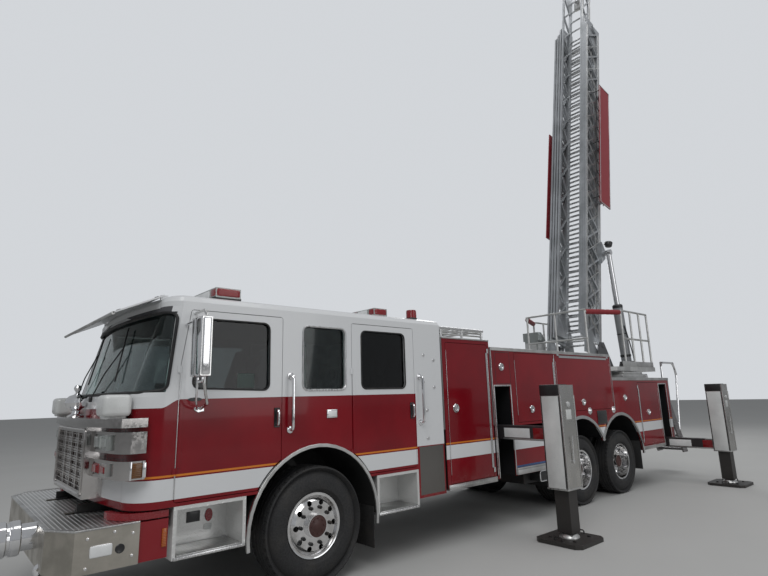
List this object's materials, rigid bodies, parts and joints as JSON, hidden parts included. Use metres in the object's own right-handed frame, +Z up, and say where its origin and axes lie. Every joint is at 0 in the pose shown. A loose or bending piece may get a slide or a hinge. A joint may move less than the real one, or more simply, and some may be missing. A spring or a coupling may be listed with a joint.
{
  "type": "aerial ladder fire engine",
  "caption": "Rear-mount aerial ladder fire engine: tilting crew cab, pump and locker body, tandem rear axles, jacks out and the nested ladder raised from its turntable",
  "frame": {"origin": "on the ground, in the middle of the truck's overall length and width", "axes": "+X points forward, +Y to the truck's left, +Z up"},
  "size_m": [12.12, 5, 12.7403],
  "materials": {
    "tyre": "matt black rubber",
    "rim": "polished",
    "chassis": "satin black paint with road dirt",
    "tread_plate": "bright tread plate",
    "cab_paint": "gloss red below, white above",
    "window": "lightly tinted",
    "bright_trim": "chrome plate",
    "lamp": "clear and red lenses",
    "cab_inside": "dark grey trim",
    "body_paint": "gloss red",
    "jack_paint": "bare and painted steel",
    "bare_steel": "ground steel",
    "deck": "tread plate and bare rails",
    "ladder": "bare, dull"
  },
  "bodies": {
    "chassis": {"chassis_frame": "chassis", "torque_box": "chassis", "engine_block": "chassis", "front_axle": "chassis", "rear_axles": "chassis", "front_bumper": "tread_plate", "pump_module": "body_paint", "body": "body_paint", "tail_body": "body_paint", "rear_stair": "tread_plate"},
    "cab": {"cab_shell": "cab_paint", "cab_glass": "window", "grille": "bright_trim", "cab_lamps": "lamp", "cab_interior": "cab_inside"},
    "turntable": {"turntable": "deck"},
    "ladder_base": {"base_section": "ladder"},
    "ladder_second": {"second_section": "ladder"},
    "ladder_third": {"third_section": "ladder"},
    "ladder_fly": {"fly_section": "ladder"},
    "lift_barrels": {"lift_barrels": "chassis"},
    "lift_rods": {"lift_rods": "bright_trim"},
    "front_door_left": {"front_door_left": "cab_paint", "front_door_glass_left": "window"},
    "crew_door_left": {"crew_door_left": "cab_paint", "crew_door_glass_left": "window"},
    "knuckle_left": {"knuckle_left": "chassis"},
    "front_wheel_left": {"front_tyre_left": "tyre", "front_rim_left": "rim"},
    "fore_wheels_left": {"fore_tyres_left": "tyre", "fore_rims_left": "rim"},
    "aft_wheels_left": {"aft_tyres_left": "tyre", "aft_rims_left": "rim"},
    "pump_door_left": {"pump_door_left": "body_paint"},
    "locker_door_left": {"locker_door_left": "body_paint"},
    "upper_door_left": {"upper_door_left": "body_paint"},
    "tail_door_left": {"tail_door_left": "body_paint"},
    "front_outrigger_left": {"front_outrigger_left": "jack_paint"},
    "front_leg_left": {"front_leg_left": "bare_steel"},
    "rear_outrigger_left": {"rear_outrigger_left": "jack_paint"},
    "rear_leg_left": {"rear_leg_left": "bare_steel"},
    "front_door_right": {"front_door_right": "cab_paint", "front_door_glass_right": "window"},
    "crew_door_right": {"crew_door_right": "cab_paint", "crew_door_glass_right": "window"},
    "knuckle_right": {"knuckle_right": "chassis"},
    "front_wheel_right": {"front_tyre_right": "tyre", "front_rim_right": "rim"},
    "fore_wheels_right": {"fore_tyres_right": "tyre", "fore_rims_right": "rim"},
    "aft_wheels_right": {"aft_tyres_right": "tyre", "aft_rims_right": "rim"},
    "pump_door_right": {"pump_door_right": "body_paint"},
    "locker_door_right": {"locker_door_right": "body_paint"},
    "upper_door_right": {"upper_door_right": "body_paint"},
    "tail_door_right": {"tail_door_right": "body_paint"},
    "front_outrigger_right": {"front_outrigger_right": "jack_paint"},
    "front_leg_right": {"front_leg_right": "bare_steel"},
    "rear_outrigger_right": {"rear_outrigger_right": "jack_paint"},
    "rear_leg_right": {"rear_leg_right": "bare_steel"}
  },
  "joints": [
    {"name": "cab_tilt", "type": "hinge", "parent": "chassis", "child": "cab", "pos_m": [5.49, 0, 0.83], "axis": [0, 1, 0], "range_deg": [0, 45]},
    {"name": "front_door_left_hinge", "type": "hinge", "parent": "cab", "child": "front_door_left", "pos_m": [4.99, 1.227, 1.6], "axis": [0, 0, -1], "range_deg": [0, 75]},
    {"name": "crew_door_left_hinge", "type": "hinge", "parent": "cab", "child": "crew_door_left", "pos_m": [3.165, 1.227, 1.6], "axis": [0, 0, -1], "range_deg": [0, 75]},
    {"name": "steer_left", "type": "hinge", "parent": "chassis", "child": "knuckle_left", "pos_m": [3.6, 0.85, 0.55], "axis": [0, 0, 1], "range_deg": [-35, 35]},
    {"name": "front_wheel_left_spin", "type": "hinge", "parent": "knuckle_left", "child": "front_wheel_left", "pos_m": [3.6, 1.035, 0.55], "axis": [0, 1, 0], "continuous": true},
    {"name": "fore_wheels_left_spin", "type": "hinge", "parent": "chassis", "child": "fore_wheels_left", "pos_m": [-1.46, 0.875, 0.53], "axis": [0, 1, 0], "continuous": true},
    {"name": "aft_wheels_left_spin", "type": "hinge", "parent": "chassis", "child": "aft_wheels_left", "pos_m": [-2.81, 0.875, 0.53], "axis": [0, 1, 0], "continuous": true},
    {"name": "pump_door_left_hinge", "type": "hinge", "parent": "chassis", "child": "pump_door_left", "pos_m": [0.855, 1.227, 1.55], "axis": [0, 0, 1], "range_deg": [0, 90]},
    {"name": "locker_door_left_hinge", "type": "hinge", "parent": "chassis", "child": "locker_door_left", "pos_m": [-0.795, 1.227, 1.84], "axis": [0, 0, 1], "range_deg": [0, 90]},
    {"name": "upper_door_left_hinge", "type": "hinge", "parent": "chassis", "child": "upper_door_left", "pos_m": [-1.75, 1.227, 2.32], "axis": [1, 0, 0], "range_deg": [0, 90]},
    {"name": "tail_door_left_hinge", "type": "hinge", "parent": "chassis", "child": "tail_door_left", "pos_m": [-3.675, 1.227, 1.31], "axis": [0, 0, -1], "range_deg": [0, 90]},
    {"name": "front_outrigger_left_slide", "type": "slide", "parent": "chassis", "child": "front_outrigger_left", "axis": [0, -1, 0], "range_m": [0, 0.97]},
    {"name": "front_leg_left_slide", "type": "slide", "parent": "front_outrigger_left", "child": "front_leg_left", "axis": [0, 0, 1], "range_m": [0, 0.45]},
    {"name": "rear_outrigger_left_slide", "type": "slide", "parent": "chassis", "child": "rear_outrigger_left", "axis": [0, -1, 0], "range_m": [0, 1.12]},
    {"name": "rear_leg_left_slide", "type": "slide", "parent": "rear_outrigger_left", "child": "rear_leg_left", "axis": [0, 0, 1], "range_m": [0, 0.45]},
    {"name": "front_door_right_hinge", "type": "hinge", "parent": "cab", "child": "front_door_right", "pos_m": [4.99, -1.227, 1.6], "axis": [0, 0, 1], "range_deg": [0, 75]},
    {"name": "crew_door_right_hinge", "type": "hinge", "parent": "cab", "child": "crew_door_right", "pos_m": [3.165, -1.227, 1.6], "axis": [0, 0, 1], "range_deg": [0, 75]},
    {"name": "steer_right", "type": "hinge", "parent": "chassis", "child": "knuckle_right", "pos_m": [3.6, -0.85, 0.55], "axis": [0, 0, 1], "range_deg": [-35, 35]},
    {"name": "front_wheel_right_spin", "type": "hinge", "parent": "knuckle_right", "child": "front_wheel_right", "pos_m": [3.6, -1.035, 0.55], "axis": [0, 1, 0], "continuous": true},
    {"name": "fore_wheels_right_spin", "type": "hinge", "parent": "chassis", "child": "fore_wheels_right", "pos_m": [-1.46, -0.875, 0.53], "axis": [0, 1, 0], "continuous": true},
    {"name": "aft_wheels_right_spin", "type": "hinge", "parent": "chassis", "child": "aft_wheels_right", "pos_m": [-2.81, -0.875, 0.53], "axis": [0, 1, 0], "continuous": true},
    {"name": "pump_door_right_hinge", "type": "hinge", "parent": "chassis", "child": "pump_door_right", "pos_m": [0.855, -1.227, 1.55], "axis": [0, 0, -1], "range_deg": [0, 90]},
    {"name": "locker_door_right_hinge", "type": "hinge", "parent": "chassis", "child": "locker_door_right", "pos_m": [-0.795, -1.227, 1.84], "axis": [0, 0, -1], "range_deg": [0, 90]},
    {"name": "upper_door_right_hinge", "type": "hinge", "parent": "chassis", "child": "upper_door_right", "pos_m": [-1.75, -1.227, 2.32], "axis": [-1, 0, 0], "range_deg": [0, 90]},
    {"name": "tail_door_right_hinge", "type": "hinge", "parent": "chassis", "child": "tail_door_right", "pos_m": [-3.675, -1.227, 1.31], "axis": [0, 0, 1], "range_deg": [0, 90]},
    {"name": "front_outrigger_right_slide", "type": "slide", "parent": "chassis", "child": "front_outrigger_right", "axis": [0, 1, 0], "range_m": [0, 0.97]},
    {"name": "front_leg_right_slide", "type": "slide", "parent": "front_outrigger_right", "child": "front_leg_right", "axis": [0, 0, 1], "range_m": [0, 0.45]},
    {"name": "rear_outrigger_right_slide", "type": "slide", "parent": "chassis", "child": "rear_outrigger_right", "axis": [0, 1, 0], "range_m": [0, 1.12]},
    {"name": "rear_leg_right_slide", "type": "slide", "parent": "rear_outrigger_right", "child": "rear_leg_right", "axis": [0, 0, 1], "range_m": [0, 0.45]},
    {"name": "turntable_turn", "type": "hinge", "parent": "chassis", "child": "turntable", "pos_m": [-4.15, 0, 2.12], "axis": [0, 0, 1], "continuous": true},
    {"name": "ladder_elevation", "type": "hinge", "parent": "turntable", "child": "ladder_base", "pos_m": [-3.92, 0, 2.67], "axis": [0, 1, 0], "range_deg": [-83.2, 0]},
    {"name": "lift_barrel_turn", "type": "hinge", "parent": "turntable", "child": "lift_barrels", "pos_m": [-4.64, 0, 2.31], "axis": [0, 1, 0], "range_deg": [-90.6, 0.5]},
    {"name": "lift_rod_slide", "type": "slide", "parent": "lift_barrels", "child": "lift_rods", "axis": [0.1078, 0, 0.9942], "range_m": [-1.0483, 0.002]},
    {"name": "second_section_slide", "type": "slide", "parent": "ladder_base", "child": "ladder_second", "axis": [-0.2045, 0, 0.9789], "range_m": [0, 6.9]},
    {"name": "third_section_slide", "type": "slide", "parent": "ladder_second", "child": "ladder_third", "axis": [-0.2045, 0, 0.9789], "range_m": [0, 6.9]},
    {"name": "fly_section_slide", "type": "slide", "parent": "ladder_third", "child": "ladder_fly", "axis": [-0.2045, 0, 0.9789], "range_m": [0, 6.9]}
  ],
  "couplings": [
    {"joint": "steer_right", "follows": "steer_left", "ratio": 1},
    {"joint": "lift_barrel_turn", "follows": "ladder_elevation", "ratio": 1.0824},
    {"joint": "lift_rod_slide", "follows": "ladder_elevation", "m_per_rad": 0.72056},
    {"joint": "third_section_slide", "follows": "second_section_slide", "ratio": 1},
    {"joint": "fly_section_slide", "follows": "second_section_slide", "ratio": 1}
  ]
}
